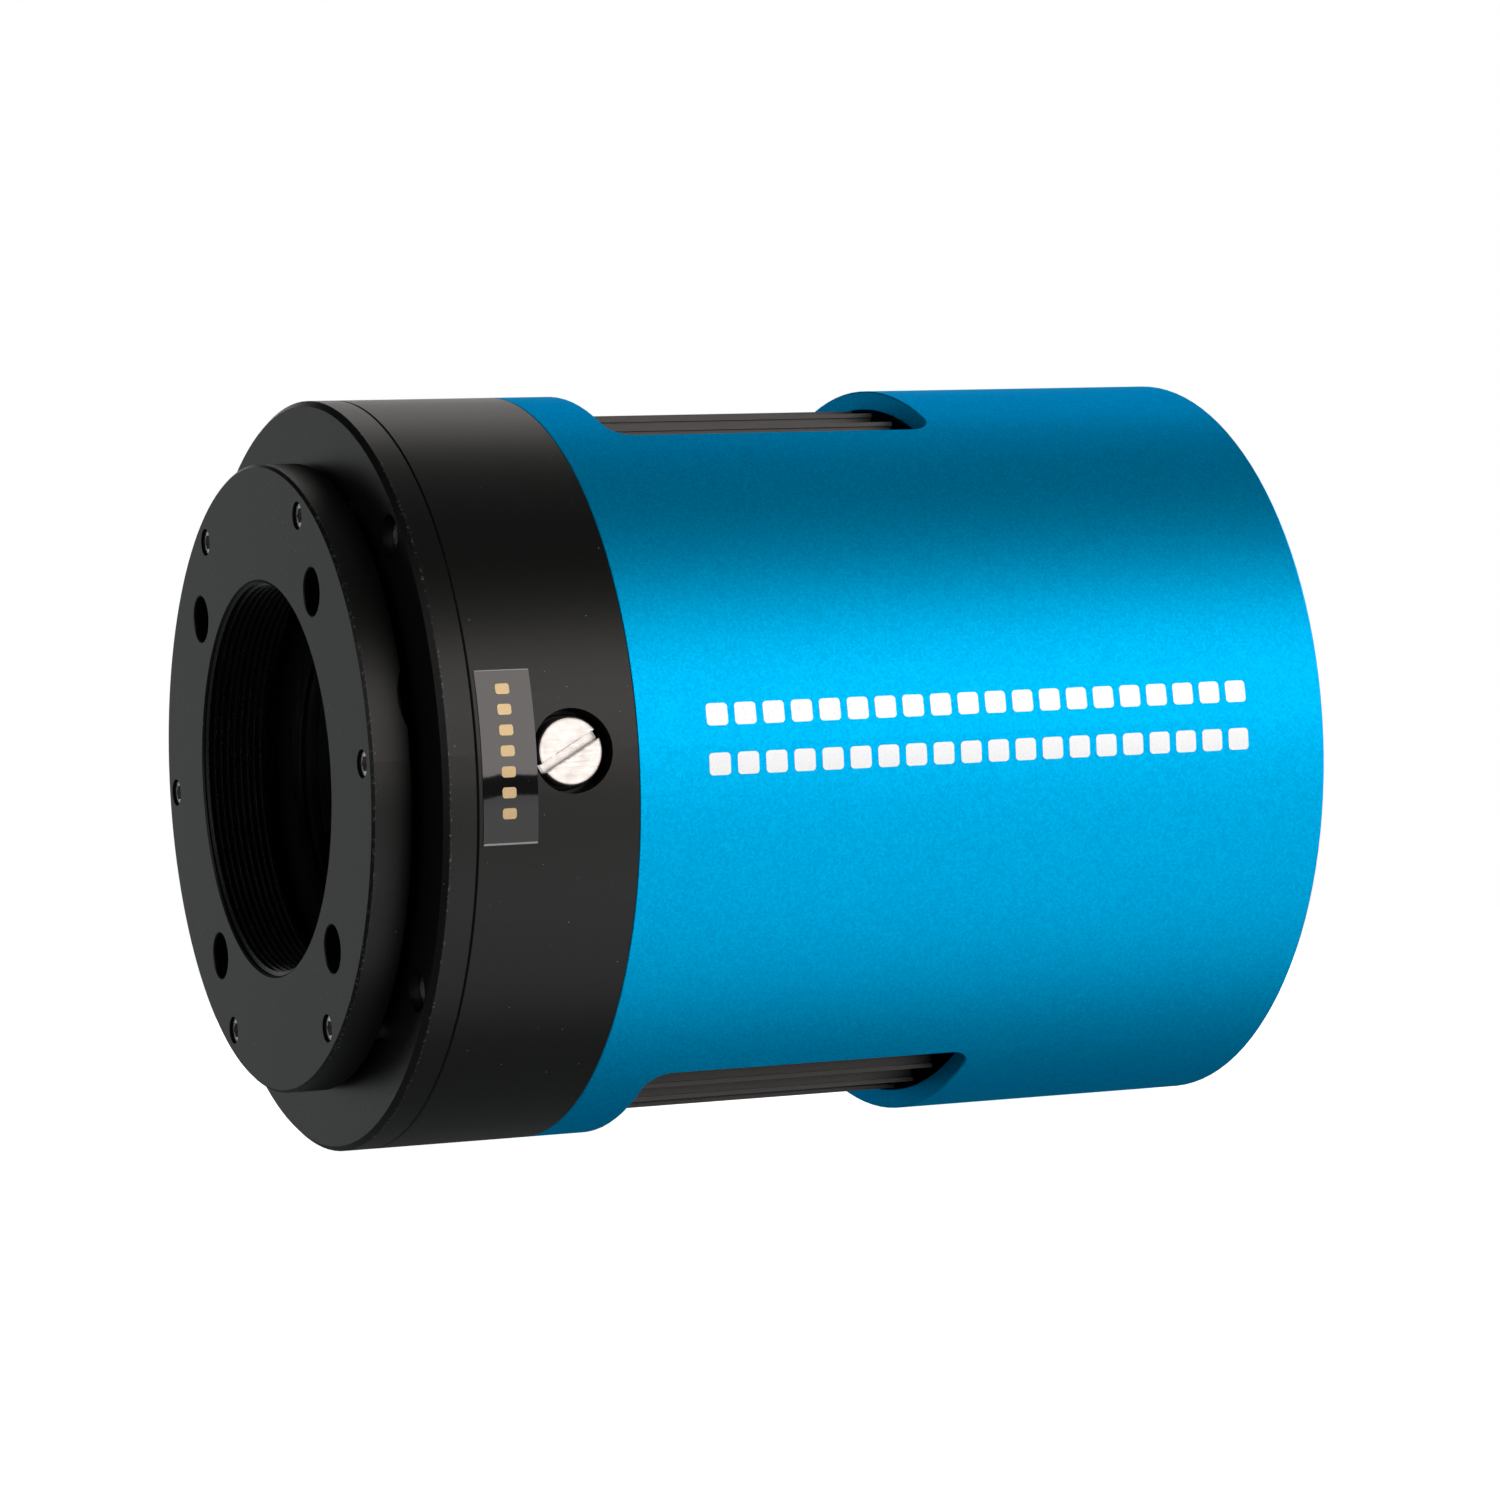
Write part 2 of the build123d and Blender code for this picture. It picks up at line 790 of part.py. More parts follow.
def fan_screws():
    screws = []
    for x, z in four_places(fan_hole_offset, fan_hole_offset):
        head = rod(fan_head_radius, fan_rear, fan_rear + fan_head_height, x, z)
        head = cut(head, hexagon(2.0, fan_rear + 0.6, fan_rear + 3, x, z))
        screws.append(head + rod(m25_radius, fan_front - 5, fan_rear, x, z))
    return group(screws)


def fan_leads():
    return group(rod(fan_lead_radius, fan_rear, main_board_front, x, fan_lead_z) for x in fan_lead_xs)


# ---------------------------------------------------------------- electronics

def post_places():
    return four_places(post_x, post_z)


def circuit_board(front):
    board = rod(board_radius, front, front + board_thickness)
    board = board & square(board_radius + 1, front - 1, front + 3, board_half_height)
    for x, z in post_places():
        board = cut(board, rod(stud_radius, front - 1, front + 3, x, z))
    return board


def chassis_posts():
    return group(cut(rod(post_radius, sink_base_rear, main_board_front, x, z),
                     rod(stud_radius, stud_front, main_board_front + 1, x, z)) for x, z in post_places())


def board_studs():
    return group(rod(stud_radius, stud_front, stud_rear, x, z) for x, z in post_places())


def board_spacers():
    """Eight tubes: one set between the boards, one set behind them."""
    gaps = ((main_board_front + board_thickness, port_board_front), (socket_front(), cover_front))
    return group(ring(spacer_radius, stud_radius, start, end, x, z)
                 for start, end in gaps for x, z in post_places())


def processor_chip():
    start = main_board_front + board_thickness
    return square(11.0, start, start + 1.9, place=(-4.0, 2.0))


def memory_chips():
    start = main_board_front + board_thickness
    return group(square(4.5, start, start + 1.1, 6.0, (13.5, z)) for z in (-6.0, 9.0))


def receiver_module():
    """Shielded can of the timing receiver."""
    start = main_board_front + board_thickness
    return square(6.0, start, start + 2.4, 5.0, (-4.0, -17.5))


# ---------------------------------------------------------------- rear cover and sockets

def socket_front():
    return port_board_front + board_thickness


def usb_b_socket():
    x, z = usb_b_place
    half_x, half_z = usb_b_half
    mouth_x, mouth_z = usb_b_mouth_half
    tongue_x, tongue_z = usb_b_tongue_half
    body = square(half_x, socket_front(), socket_rear, half_z, usb_b_place)
    body = cut(body, square(mouth_x, socket_front() + 1.4, socket_rear + 1, mouth_z, usb_b_place))
    return body + square(tongue_x, socket_front() + 1, usb_b_tongue_rear, tongue_z, (x, z - 1.0))


def usb_a_socket(place):
    x, z = place
    half_x, half_z = usb_a_half
    mouth_x, mouth_z = usb_a_mouth_half
    tongue_x, tongue_z = usb_a_tongue_half
    body = square(half_x, socket_front(), socket_rear, half_z, place)
    body = cut(body, square(mouth_x, socket_front() + 1.0, socket_rear + 1, mouth_z, place))
    return body + square(tongue_x, socket_front() + 0.5, pin_rear, tongue_z, (x, z + 0.8))


def power_socket():
    x, z = power_place
    half_x, half_z = power_half
    body = square(half_x, socket_front(), socket_rear, half_z, power_place)
    body = cut(body, rod(power_mouth_radius, socket_front() + 1.4, socket_rear + 1, x, z))
    return body + rod(power_pin_radius, socket_front() + 1, pin_rear, x, z)


def antenna_socket():
    """Threaded coaxial socket: a hexagon, a tube and a centre pin."""
    x, z = antenna_place
    nut_rear = socket_front() + antenna_nut_height
    body = hexagon(antenna_nut, socket_front(), nut_rear, x, z)
    body = body + rod(antenna_radius, nut_rear, socket_rear, x, z)
    body = cut(body, rod(antenna_bore_radius, socket_front() + 4, socket_rear + 1, x, z))
    return body + rod(antenna_pin_radius, socket_front() + 3, socket_rear - 1, x, z)


def status_light():
    return rod(light_radius, socket_front(), socket_rear, *light_place)


def cover_screw_places():
    return post_places()


def rear_cover():
    body = lathe([
        (0, cover_front),
        (cover_radius, cover_front),
        (cover_radius, cover_rear - rear_chamfer),
        (cover_radius - rear_chamfer, cover_rear),
        (0, cover_rear),
    ])
    low, high = cover_front - 1, cover_rear + 1
    holes = [(usb_b_half, usb_b_place), (power_half, power_place)]
    holes += [(usb_a_half, place) for place in usb_a_places]
    for (half_x, half_z), place in holes:
        body = cut(body, square(half_x + socket_clearance, low, high, half_z + socket_clearance, place))
    body = cut(body, rod(antenna_hole_radius, low, high, *antenna_place))
    body = cut(body, rod(light_radius + 0.1, low, high, *light_place))
    for x in vent_slot_xs:
        top = sqrt(vent_slot_circle ** 2 - x ** 2)
        middle = (vent_slot_bottom + top) / 2
        half_height = (top - vent_slot_bottom) / 2
        corner = vent_slot_half_width * 0.98
        slot = rounded(vent_slot_half_width, half_height, corner, low, high, (x, middle))
        body = cut(body, slot)
    for x, z in cover_screw_places():
        body = cut(body, cover_screw_shape(x, z, m25_radius, 0.05))
    return body


def cover_screw_shape(x, z, shank, extra):
    """Countersunk head flush with the cover, and its shank."""
    head = cover_head_radius + extra
    depth = cover_head_radius - m25_radius
    cone = Cone(shank, head, depth + extra, align=(Align.CENTER, Align.CENTER, Align.MIN))
    seat = cover_rear - depth - extra
    return Pos(x, seat, z) * Rot(X=-90) * cone + rod(shank, stud_rear + 0.5, seat, x, z)


def rear_cover_screws():
    screws = []
    for x, z in cover_screw_places():
        screw = cover_screw_shape(x, z, stud_radius, 0.0)
        screws.append(cut(screw, hexagon(1.5, cover_rear - 0.9, cover_rear + 1, x, z)))
    return group(screws)


nodes = {
    "tilt_plate": tilt_plate(),
    "pull_screws": group(set_screw(pull_screw_tip, angle) for angle in pull_angles),
    "tilt_seal_ring": tilt_seal_ring(),
    "flange_ring": flange_ring(),
    "flange_screws": flange_screws(),
    "flange_o_ring": flange_o_ring(),
    "chamber_body": chamber_body(),
    "window_retaining_ring": window_retaining_ring(),
    "window_heater": window_heater(),
    "chamber_window": chamber_window(),
    "window_gasket": window_gasket(),
    "tamper_label": tamper_label(),
    "desiccant_plug": desiccant_plug(),
    "plug_o_ring": plug_o_ring(),
    "desiccant_holder": desiccant_holder(),
    "desiccant_tablets": desiccant_tablets(),
    "sensor_mask": sensor_mask(),
    "sensor_cover_glass": sensor_cover_glass(),
    "sensor_package": sensor_package(),
    "sensor_die": sensor_die(),
    "sensor_socket": sensor_socket(),
    "sensor_board": sensor_board(),
    "sensor_board_standoffs": sensor_board_standoffs(),
    "sensor_board_screws": sensor_board_screws(),
    "cold_finger": cold_finger(),
    "cooler_upper_stage": cooler_upper_stage(),
    "cooler_lower_stage": cooler_lower_stage(),
    "insulation_foam": insulation_foam(),
    "rear_o_ring": rear_o_ring(),
    "sensor_ribbon": sensor_ribbon(),
    "cooler_leads": cooler_leads(),
    "heat_sink": heat_sink(),
    "heat_sink_screws": heat_sink_screws(),
    "outer_shell": outer_shell(),
    "fan_frame": fan_frame(),
    "fan_stator": fan_stator(),
    "fan_rotor": fan_rotor(),
    "fan_magnet": fan_magnet(),
    "fan_shaft": fan_shaft(),
    "fan_posts": fan_posts(),
    "fan_screws": fan_screws(),
    "fan_leads": fan_leads(),
    "chassis_posts": chassis_posts(),
    "board_studs": board_studs(),
    "main_board": circuit_board(main_board_front),
    "processor_chip": processor_chip(),
    "memory_chips": memory_chips(),
    "receiver_module": receiver_module(),
    "board_spacers": board_spacers(),
    "port_board": circuit_board(port_board_front),
    "usb_b_socket": usb_b_socket(),
    "power_socket": power_socket(),
    "antenna_socket": antenna_socket(),
    "status_light": status_light(),
    "rear_cover": rear_cover(),
    "rear_cover_screws": rear_cover_screws(),
}
for number, angle in enumerate(push_angles, start=1):
    nodes[f"push_screw_{number}"] = set_screw(push_screw_tip, angle)
nodes["usb_a_sockets"] = group(usb_a_socket(place) for place in usb_a_places)

os.makedirs("parts", exist_ok=True)
for name, shape in nodes.items():
    export_step(shape, f"parts/{name}.step")
    print(name, round(shape.volume, 1))
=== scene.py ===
import json
import math

import bmesh
import bpy
from mathutils import Matrix, Vector


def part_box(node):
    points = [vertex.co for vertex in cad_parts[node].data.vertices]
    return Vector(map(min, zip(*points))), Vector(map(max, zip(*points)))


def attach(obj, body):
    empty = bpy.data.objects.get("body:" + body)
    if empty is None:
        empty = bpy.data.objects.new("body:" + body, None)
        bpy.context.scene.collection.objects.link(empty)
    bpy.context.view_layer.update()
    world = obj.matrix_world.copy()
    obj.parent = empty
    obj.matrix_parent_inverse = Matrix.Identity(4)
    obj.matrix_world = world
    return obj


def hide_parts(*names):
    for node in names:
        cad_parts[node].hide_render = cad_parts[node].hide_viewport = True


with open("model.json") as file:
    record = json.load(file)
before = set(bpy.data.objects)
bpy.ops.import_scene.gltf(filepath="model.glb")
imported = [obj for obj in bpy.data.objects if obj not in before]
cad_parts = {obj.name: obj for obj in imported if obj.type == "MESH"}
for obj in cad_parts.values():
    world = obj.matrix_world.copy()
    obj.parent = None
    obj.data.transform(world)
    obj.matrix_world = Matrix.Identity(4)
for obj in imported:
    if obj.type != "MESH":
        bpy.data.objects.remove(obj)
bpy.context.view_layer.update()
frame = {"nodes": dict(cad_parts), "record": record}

# Guide camera.  Metres, in the CAD frame: the optical axis is Y, the front face is at y = 0,
# Z is up and +X is the side with the desiccant plug.

MM = 0.001
NODES = frame["nodes"]
BODY_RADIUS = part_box("outer_shell")[1].x
PLATE_LOW, PLATE_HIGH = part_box("tilt_plate")
PLATE_RADIUS = PLATE_HIGH.x
PLUG_LOW, PLUG_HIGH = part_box("desiccant_plug")
PLUG_CENTRE = (PLUG_LOW + PLUG_HIGH) / 2
PLUG_RADIUS = PLUG_HIGH.z
PLUG_SLOT_ANGLE = math.radians(29)
PLUG_SLOT_HALF = 0.5 * MM
LABEL_LOW, LABEL_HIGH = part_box("tamper_label")

# The thread that the CAD bore stands for.
THREAD_RADIUS = 21.0 * MM
THREAD_PITCH = 0.75 * MM
THREAD_DEPTH = 0.42 * MM
THREAD_ROOT = 0.02 * MM       # how far the ridge is sunk in the wall
THREAD_START = 0.25 * MM      # from the plate's front
THREAD_END = 0.30 * MM        # from the hub's rear
HELIX_STEPS = 96              # in one turn
HELIX_FADE = 40               # steps over which either end rises

# The antenna socket's thread.
ANTENNA_RADIUS = 3.13 * MM
ANTENNA_DEPTH = 0.22 * MM
ANTENNA_PITCH = 0.70 * MM

# Plain pattern on the shell.
MARKS_START, MARKS_END = 34.2 * MM, 97.0 * MM
MARKS_COUNT = 20
MARKS_HEIGHT = 2.3 * MM
MARKS_CORNER = 0.42 * MM
MARKS_ROWS = (3.05 * MM, -2.05 * MM)
MARKS_LIFT = 0.02 * MM
MARKS_FILL = 0.75             # share of a step that the block takes

# Label film and the blocks on it.
FILM_THICKNESS = 0.05 * MM
FILM_LIFT = 0.085 * MM
FILM_WAVE = 0.008 * MM
LABEL_BLOCKS = 7
LABEL_STEP = 2.1 * MM
LABEL_BLOCK = (1.50 * MM, 1.10 * MM, 0.30 * MM)  # width, height and corner
LABEL_BLOCK_LIFT = 0.112 * MM

# Sockets in the rear face.
TONGUE_START = 97.6 * MM
CONTACT_START = 98.5 * MM
USB_A_MIDDLES = (-5.7, -14.7)
USB_A_CONTACTS = (10.9, 13.6, 16.4, 19.1)
USB_B_CONTACTS = (-17.2, -14.8)
COLLAR_FRONT, COLLAR_REAR = 102.6 * MM, 103.6 * MM
MARK_GROW = 1.0 * MM          # from a socket to its printed outline
MARK_WIDTH = 0.18 * MM
MARK_LIFT = 0.015 * MM

# Sensor.
PACKAGE_DEPTH = 1.3 * MM      # from the package's front to its floor
WIRE_COUNT = 14
WIRE_REACH = 4.6              # the outermost wires, in mm from the middle
WIRE_PARTS = 8
WIRE_ARCH = 0.28 * MM


# ------------------------------------------------------------------ camera, lights, floor

CAMERA_PLACE = (0.53528, -0.18100, -0.01828)
CAMERA_TURNS = (66.07, 1.85, -3.53)  # degrees: heading, elevation and roll
FOCAL_LENGTH = 127.13                # for a sensor 36 mm wide
SENSOR_WIDTH = 36.0
BODY_MIDDLE = (0.0, 0.05, 0.0)
WHITE = (1.0, 1.0, 1.0)
WARM = (1.0, 0.97, 0.94)

# Name, direction from the middle of the body, distance, edge, watts and colour of each softbox.
LIGHTS = (
    ("key_right", (0.897, 0.40, 0.254), 0.9, 0.62, 3.9, (1.0, 0.94, 0.91)),
    ("low_right", (0.81, 0.40, -0.43), 0.9, 0.5, 0.88, (1.0, 0.98, 0.97)),
    ("table_right", (0.49, 0.40, -0.78), 0.9, 0.6, 1.1, WHITE),
    ("left_front", (-0.92, -0.40, 0.08), 0.9, 0.5, 0.38, (0.97, 1.0, 0.99)),
    ("front", (0.12, -0.97, 0.22), 1.2, 0.8, 1.6, WHITE),
    ("top", (0.0, 0.35, 0.94), 0.9, 0.5, 0.08, WHITE),
    ("top_left", (-0.59, 0.40, 0.70), 0.9, 0.5, 0.8, WARM),
    ("left", (-0.95, 0.25, 0.15), 1.2, 0.7, 1.8, WARM),
    ("rear", (-0.40, 0.90, 0.20), 1.2, 0.9, 6.0, WHITE),
    ("bounce", (0.0, 0.0, -1.0), 0.35, 3.0, 2.5, (0.97, 0.98, 1.0)),
)

FLOOR_RADIUS = 3.0
FLOOR_GAP = 0.0002


def add_camera():
    """Long lens below the optical axis, looking slightly up at the front and the plug side."""
    heading, elevation, roll = (math.radians(a) for a in CAMERA_TURNS)
    forward = Vector((-math.sin(heading) * math.cos(elevation),
                      math.cos(heading) * math.cos(elevation), math.sin(elevation)))
    level = forward.cross(Vector((0, 0, 1))).normalized()
    above = level.cross(forward)
    right = level * math.cos(roll) + above * math.sin(roll)
    up = right.cross(forward)
    data = bpy.data.cameras.new("camera")
    data.lens = FOCAL_LENGTH
    data.sensor_width = SENSOR_WIDTH
    data.clip_start = 0.01
    data.clip_end = 20.0
    camera = bpy.data.objects.new("camera", data)
    place = Matrix((right, up, -forward)).transposed().to_4x4()
    place.translation = Vector(CAMERA_PLACE)
    camera.matrix_world = place
    bpy.context.scene.collection.objects.link(camera)
    bpy.context.scene.camera = camera


def add_light(name, direction, reach, size, power, colour):
    """Square softbox at a distance from the middle of the body, facing it."""
    toward = Vector(direction).normalized()
    data = bpy.data.lights.new(name, "AREA")
    data.shape = "SQUARE"
    data.size = size
    data.energy = power
    data.color = colour
    light = bpy.data.objects.new(name, data)
    light.location = Vector(BODY_MIDDLE) + toward * reach
    light.rotation_mode = "QUATERNION"
    light.rotation_quaternion = (-toward).to_track_quat("-Z", "Y")
    bpy.context.scene.collection.objects.link(light)


def add_lights():
    for light in LIGHTS:
        add_light(*light)


def add_world():
    """White to the eye, dim to the object."""
    world = bpy.data.worlds.new("studio")
    world.use_nodes = True
    nodes, links = world.node_tree.nodes, world.node_tree.links
    nodes.clear()
    seen = nodes.new("ShaderNodeLightPath")
    backdrop = nodes.new("ShaderNodeBackground")
    backdrop.inputs["Color"].default_value = (1.0, 1.0, 1.0, 1.0)
    backdrop.inputs["Strength"].default_value = 1.0
    fill = nodes.new("ShaderNodeBackground")
    fill.inputs["Color"].default_value = (0.92, 0.96, 1.0, 1.0)
    fill.inputs["Strength"].default_value = 0.03
    mix = nodes.new("ShaderNodeMixShader")
    out = nodes.new("ShaderNodeOutputWorld")
    links.new(seen.outputs["Is Camera Ray"], mix.inputs["Fac"])
    links.new(fill.outputs["Background"], mix.inputs[1])
    links.new(backdrop.outputs["Background"], mix.inputs[2])
    links.new(mix.outputs["Shader"], out.inputs["Surface"])
    bpy.context.scene.world = world


def add_floor():
    """Pale round floor under the body: plain white to the eye, and hidden from the other rays."""
    mesh = bpy.data.meshes.new("floor")
    bm = bmesh.new()
    bmesh.ops.create_circle(bm, cap_ends=True, segments=96, radius=FLOOR_RADIUS)
    bm.to_mesh(mesh)
    bm.free()
    floor = bpy.data.objects.new("floor", mesh)
    floor.location = (BODY_MIDDLE[0], BODY_MIDDLE[1], -BODY_RADIUS - FLOOR_GAP)
    bpy.context.scene.collection.objects.link(floor)
    shade = Shade("pale_floor")
    noise = shade.noise(40, 3)
    colour = shade.ramp(noise, [(0.0, (0.86, 0.86, 0.86)), (1.0, (0.90, 0.90, 0.90))])
    shade.set(Roughness=0.9)
    shade.link(colour, "Base Color")
    shade.set_emission(WHITE, 1.0)
    floor.data.materials.append(shade.material)
    floor.visible_diffuse = False
    floor.visible_glossy = False
    floor.visible_shadow = False


# ------------------------------------------------------------------ materials

class Shade:
    """One node material built step by step, in object coordinates (metres)."""

    def __init__(self, name):
        self.material = bpy.data.materials.new(name)
        self.material.use_nodes = True
        self.tree = self.material.node_tree
        self.principled = next(n for n in self.tree.nodes if n.type == "BSDF_PRINCIPLED")
        self.coordinates = self.node("ShaderNodeTexCoord").outputs["Object"]

    def node(self, kind, **values):
        made = self.tree.nodes.new(kind)
        for key, value in values.items():
            setattr(made, key, value)
        return made

    def join(self, source, target):
        self.tree.links.new(source, target)

    def set(self, **values):
        for key, value in values.items():
            self.principled.inputs[key.replace("_", " ")].default_value = value

    def link(self, source, name):
        self.join(source, self.principled.inputs[name])

    def set_emission(self, colour, strength):
        self.principled.inputs["Emission Color"].default_value = (*colour, 1.0)
        self.principled.inputs["Emission Strength"].default_value = strength

    def stretched(self, scale):
        """Coordinates scaled along each axis."""
        mapping = self.node("ShaderNodeMapping")
        mapping.inputs["Scale"].default_value = scale
        self.join(self.coordinates, mapping.inputs["Vector"])
        return mapping.outputs["Vector"]

    def noise(self, scale, detail=2.0, roughness=0.5, vector=None):
        made = self.node("ShaderNodeTexNoise")
        made.inputs["Scale"].default_value = scale
        made.inputs["Detail"].default_value = detail
        made.inputs["Roughness"].default_value = roughness
        self.join(vector or self.coordinates, made.inputs["Vector"])
        return made.outputs["Fac"]

    def cell_values(self, scale):
        """A random grey for each grain."""
        made = self.node("ShaderNodeTexVoronoi")
        made.inputs["Scale"].default_value = scale
        self.join(self.coordinates, made.inputs["Vector"])
        split = self.node("ShaderNodeSeparateColor")
        self.join(made.outputs["Color"], split.inputs["Color"])
        return split.outputs["Red"]

    def ramp(self, value, stops):
        made = self.node("ShaderNodeValToRGB")
        elements = made.color_ramp.elements
        while len(elements) < len(stops):
            elements.new(0.5)
        for element, (position, colour) in zip(elements, stops):
            element.position = position
            element.color = (*colour, 1.0)
        self.join(value, made.inputs["Fac"])
        return made.outputs["Color"]

    def range(self, value, low, high, to_low, to_high):
        made = self.node("ShaderNodeMapRange")
        limits = {"From Min": low, "From Max": high, "To Min": to_low, "To Max": to_high}
        for key, number in limits.items():
            made.inputs[key].default_value = number
        self.join(value, made.inputs["Value"])
        return made.outputs["Result"]

    def math(self, operation, first, second=None):
        made = self.node("ShaderNodeMath", operation=operation)
        for index, value in enumerate((first, second)):
            if value is None:
                continue
            if isinstance(value, (int, float)):
                made.inputs[index].default_value = value
            else:
                self.join(value, made.inputs[index])
        return made.outputs["Value"]

    def mix(self, factor, first, second):
        made = self.node("ShaderNodeMix", data_type="RGBA")
        self.join(factor, made.inputs["Factor"])
        for socket, value in (("A", first), ("B", second)):
            target = next(i for i in made.inputs if i.name == socket and i.type == "RGBA")
            if isinstance(value, tuple):
                target.default_value = (*value, 1.0)
            else:
                self.join(value, target)
        return next(o for o in made.outputs if o.type == "RGBA")

    def axis(self, name):
        made = self.node("ShaderNodeSeparateXYZ")
        self.join(self.coordinates, made.inputs["Vector"])
        return made.outputs[name]

    def radius(self):
        """Distance from the optical axis."""
        x, z = self.axis("X"), self.axis("Z")
        return self.math("SQRT", self.math("ADD", self.math("MULTIPLY", x, x),
                                           self.math("MULTIPLY", z, z)))

    def near(self, value, centre, width):
        """1 at centre, falling to 0 at width from it."""
        distance = self.math("ABSOLUTE", self.math("SUBTRACT", value, centre))
        return self.range(distance, 0.0, width, 1.0, 0.0)

    def bump(self, height, depth, strength=1.0, base=None):
        made = self.node("ShaderNodeBump")
        made.inputs["Strength"].default_value = strength
        made.inputs["Distance"].default_value = depth
        self.join(height, made.inputs["Height"])
        if base is not None:
            self.join(base, made.inputs["Normal"])
        return made.outputs["Normal"]


def per_mm(number):
    """Texture scale for features of about that many millimetres."""
    return 1.0 / (number * MM)


def blasted(name, dark, light, grain, roughness, metallic, depth, specular=0.5):
    """Bead-blasted and anodised metal: fine grains that differ in colour and in tilt."""
    shade = Shade(name)
    grains = shade.cell_values(per_mm(grain))
    cloud = shade.noise(per_mm(9.0), 3)
    value = shade.math("ADD", shade.math("MULTIPLY", grains, 0.85),
                       shade.math("MULTIPLY", cloud, 0.15))
    shade.link(shade.ramp(value, [(0.1, dark), (0.9, light)]), "Base Color")
    fine = shade.noise(per_mm(grain * 0.8), 3, 0.6)
    shade.link(shade.range(fine, 0.3, 0.7, roughness - 0.04, roughness + 0.05), "Roughness")
    shade.set(Metallic=metallic, Specular_IOR_Level=specular)
    shade.link(shade.bump(fine, depth), "Normal")
    return shade


def blue_anodised():
    shade = blasted("blue_anodised", (0.0, 0.460, 0.87), (0.0, 0.575, 1.0), 0.22, 0.56, 1.0,
                    0.008 * MM)
    shade.set(Specular_Tint=(0.10, 0.50, 0.82, 1.0))
    return shade


def black_anodised():
    shade = blasted("black_anodised", (0.0035, 0.0048, 0.0038), (0.0060, 0.0072, 0.0060), 0.16,
                    0.38, 0.0, 0.004 * MM, 0.31)
    worn_and_lit_rims(shade)
    dusty(shade, 0.55, 0.045)
    return shade


def dusty(shade, spacing, share, colour=(0.20, 0.19, 0.18)):
    """Sparse pale specks: a share of the cells, so many millimetres apart, holds one."""
    cells = shade.node("ShaderNodeTexVoronoi")
    cells.inputs["Scale"].default_value = per_mm(spacing)
    shade.join(shade.coordinates, cells.inputs["Vector"])
    split = shade.node("ShaderNodeSeparateColor")
    shade.join(cells.outputs["Color"], split.inputs["Color"])
    chosen = shade.math("LESS_THAN", split.outputs["Green"], share)
    size = shade.range(split.outputs["Blue"], 0.0, 1.0, 0.04, 0.14)
    speck = shade.math("MULTIPLY", chosen, shade.math("LESS_THAN", cells.outputs["Distance"], size))
    old = shade.principled.inputs["Base Color"].links[0].from_socket
    shade.link(shade.mix(speck, old, colour), "Base Color")


def worn_and_lit_rims(shade):
    """Small pale nicks along the outer rims of the plate and the flange: wear plus a painted
    highlight.
    """
    y = shade.axis("Y")
    radius = shade.radius()
    plate = shade.math("MULTIPLY", shade.near(radius, PLATE_RADIUS, 0.35 * MM),
                       shade.near(y, 0.15 * MM, 0.4 * MM))
    flange = shade.math("MULTIPLY", shade.near(radius, BODY_RADIUS, 0.25 * MM),
                        shade.near(y, 5.9 * MM, 0.25 * MM))
    where = shade.math("MAXIMUM", plate, flange)
    # Painted highlight: the pale nicks also stand in for light caught on the rims.
    nick_and_highlight = shade.range(shade.noise(per_mm(0.4), 4, 0.7), 0.56, 0.66, 0.0, 1.0)
    factor = shade.math("MULTIPLY", where, nick_and_highlight)
    old = shade.principled.inputs["Base Color"].links[0].from_socket
    shade.link(shade.mix(factor, old, (0.20, 0.195, 0.19)), "Base Color")


def sink_anodised():
    """Extruded fins: streaks along Y."""
    shade = Shade("sink_anodised")
    streaks = shade.noise(1.0, 3, 0.6,
                          shade.stretched((per_mm(1.2), per_mm(18.0), per_mm(0.5))))
    speckle = shade.noise(per_mm(0.25), 3, 0.7)
    value = shade.math("ADD", shade.math("MULTIPLY", streaks, 0.5),
                       shade.math("MULTIPLY", speckle, 0.5))
    shade.link(shade.ramp(value, [(0.3, (0.020, 0.019, 0.018)), (0.7, (0.036, 0.034, 0.032))]),
               "Base Color")
    shade.link(shade.range(speckle, 0.3, 0.7, 0.34, 0.46), "Roughness")
    shade.set(Metallic=0.15)
    shade.link(shade.bump(value, 0.008 * MM), "Normal")
    return shade


def turned_steel():
    """Pale steel with fine irregular machining lines."""
    shade = Shade("turned_steel")
    lines = shade.noise(1.0, 2, 0.5,
                        shade.stretched((per_mm(0.9), per_mm(0.9), per_mm(0.22))))
    stains = shade.noise(per_mm(1.8), 4)
    shade.link(shade.ramp(stains, [(0.3, (0.68, 0.66, 0.64)), (0.7, (0.82, 0.81, 0.80))]),
               "Base Color")
    shade.link(shade.range(lines, 0.25, 0.75, 0.26, 0.38), "Roughness")
    shade.set(Metallic=1.0)
    shade.link(shade.bump(lines, 0.0015 * MM), "Normal")
    return shade


